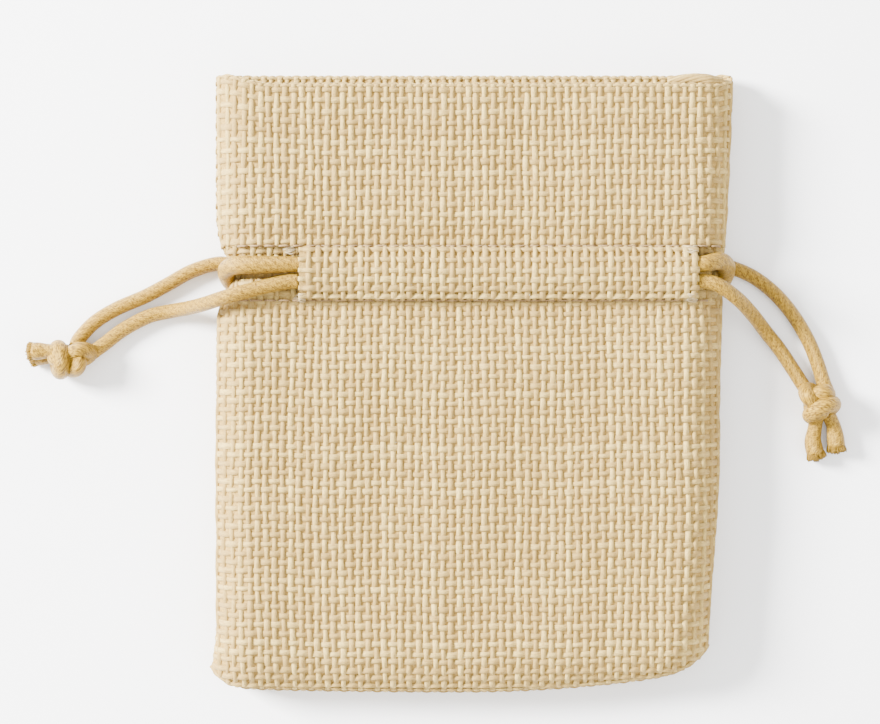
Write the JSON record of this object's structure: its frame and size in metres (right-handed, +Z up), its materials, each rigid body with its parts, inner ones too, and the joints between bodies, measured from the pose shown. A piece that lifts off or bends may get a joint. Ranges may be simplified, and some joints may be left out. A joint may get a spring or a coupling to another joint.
{
  "type": "drawstring gift pouch",
  "caption": "Small flat linen-weave gift pouch with a stitched casing near its open mouth and a satin cord knotted in a loop at each side.",
  "frame": {"origin": "on the table under the middle of the pouch, which lies flat on its back; free cords not counted", "axes": "+X to the right, +Y towards the mouth, +Z up out of the front face"},
  "size_m": [0.1306, 0.098, 0.012],
  "materials": {
    "linen_cloth": "plain weave, matt, pale flat warp over tan weft",
    "lining_cloth": "the same plain weave seen on its inner face, matt",
    "sewing_thread": "spun thread, matt",
    "satin_cord": "satin rattail cord, silky sheen"
  },
  "bodies": {
    "pouch": {"front_panel": "linen_cloth", "back_panel": "linen_cloth", "bottom_fold": "linen_cloth", "front_casing": "linen_cloth", "back_casing": "linen_cloth", "front_header": "linen_cloth", "back_header": "linen_cloth", "front_facing": "lining_cloth", "back_facing": "lining_cloth", "front_upper_stitching": "sewing_thread", "front_lower_stitching": "sewing_thread", "back_upper_stitching": "sewing_thread", "back_lower_stitching": "sewing_thread", "left_bar_tacks": "sewing_thread", "right_bar_tacks": "sewing_thread", "left_cord_bight": "satin_cord", "right_cord_bight": "satin_cord"},
    "left_drawcord": {"left_cord_front_run": "satin_cord", "left_cord_back_run": "satin_cord", "left_cord_front_strand": "satin_cord", "left_cord_back_strand": "satin_cord", "left_cord_knot": "satin_cord", "left_cord_tails": "satin_cord"},
    "right_drawcord": {"right_cord_front_run": "satin_cord", "right_cord_back_run": "satin_cord", "right_cord_front_strand": "satin_cord", "right_cord_back_strand": "satin_cord", "right_cord_knot": "satin_cord", "right_cord_tails": "satin_cord"},
    "left_side": {"left_side_seam": "lining_cloth", "left_overlock": "sewing_thread"},
    "right_side": {"right_side_seam": "lining_cloth", "right_overlock": "sewing_thread"},
    "left_collar": {"left_header_seam": "lining_cloth"},
    "right_collar": {"right_header_seam": "lining_cloth"}
  },
  "joints": [
    {"name": "left_cord_pull", "type": "slide", "parent": "pouch", "child": "left_drawcord", "axis": [-1, 0, 0], "range_m": [0, 0.016]},
    {"name": "right_cord_pull", "type": "slide", "parent": "pouch", "child": "right_drawcord", "axis": [1, 0, 0], "range_m": [0, 0.016]},
    {"name": "right_collar_gather", "type": "slide", "parent": "pouch", "child": "right_collar", "axis": [-1, 0, 0], "range_m": [0, 0.016]},
    {"name": "left_collar_gather", "type": "slide", "parent": "pouch", "child": "left_collar", "axis": [1, 0, 0], "range_m": [0, 0.016]},
    {"name": "right_side_gather", "type": "hinge", "parent": "pouch", "child": "right_side", "pos_m": [0.038, -0.045, 0.00455], "axis": [0, 0, 1], "range_deg": [0, 17]},
    {"name": "left_side_gather", "type": "hinge", "parent": "pouch", "child": "left_side", "pos_m": [-0.0405, -0.045, 0.00455], "axis": [0, 0, -1], "range_deg": [0, 17]}
  ],
  "couplings": [
    {"joint": "right_side_gather", "follows": "left_cord_pull", "rad_per_m": 17.5},
    {"joint": "left_side_gather", "follows": "right_cord_pull", "rad_per_m": 17.5},
    {"joint": "right_collar_gather", "follows": "left_cord_pull", "ratio": 1},
    {"joint": "left_collar_gather", "follows": "right_cord_pull", "ratio": 1}
  ]
}
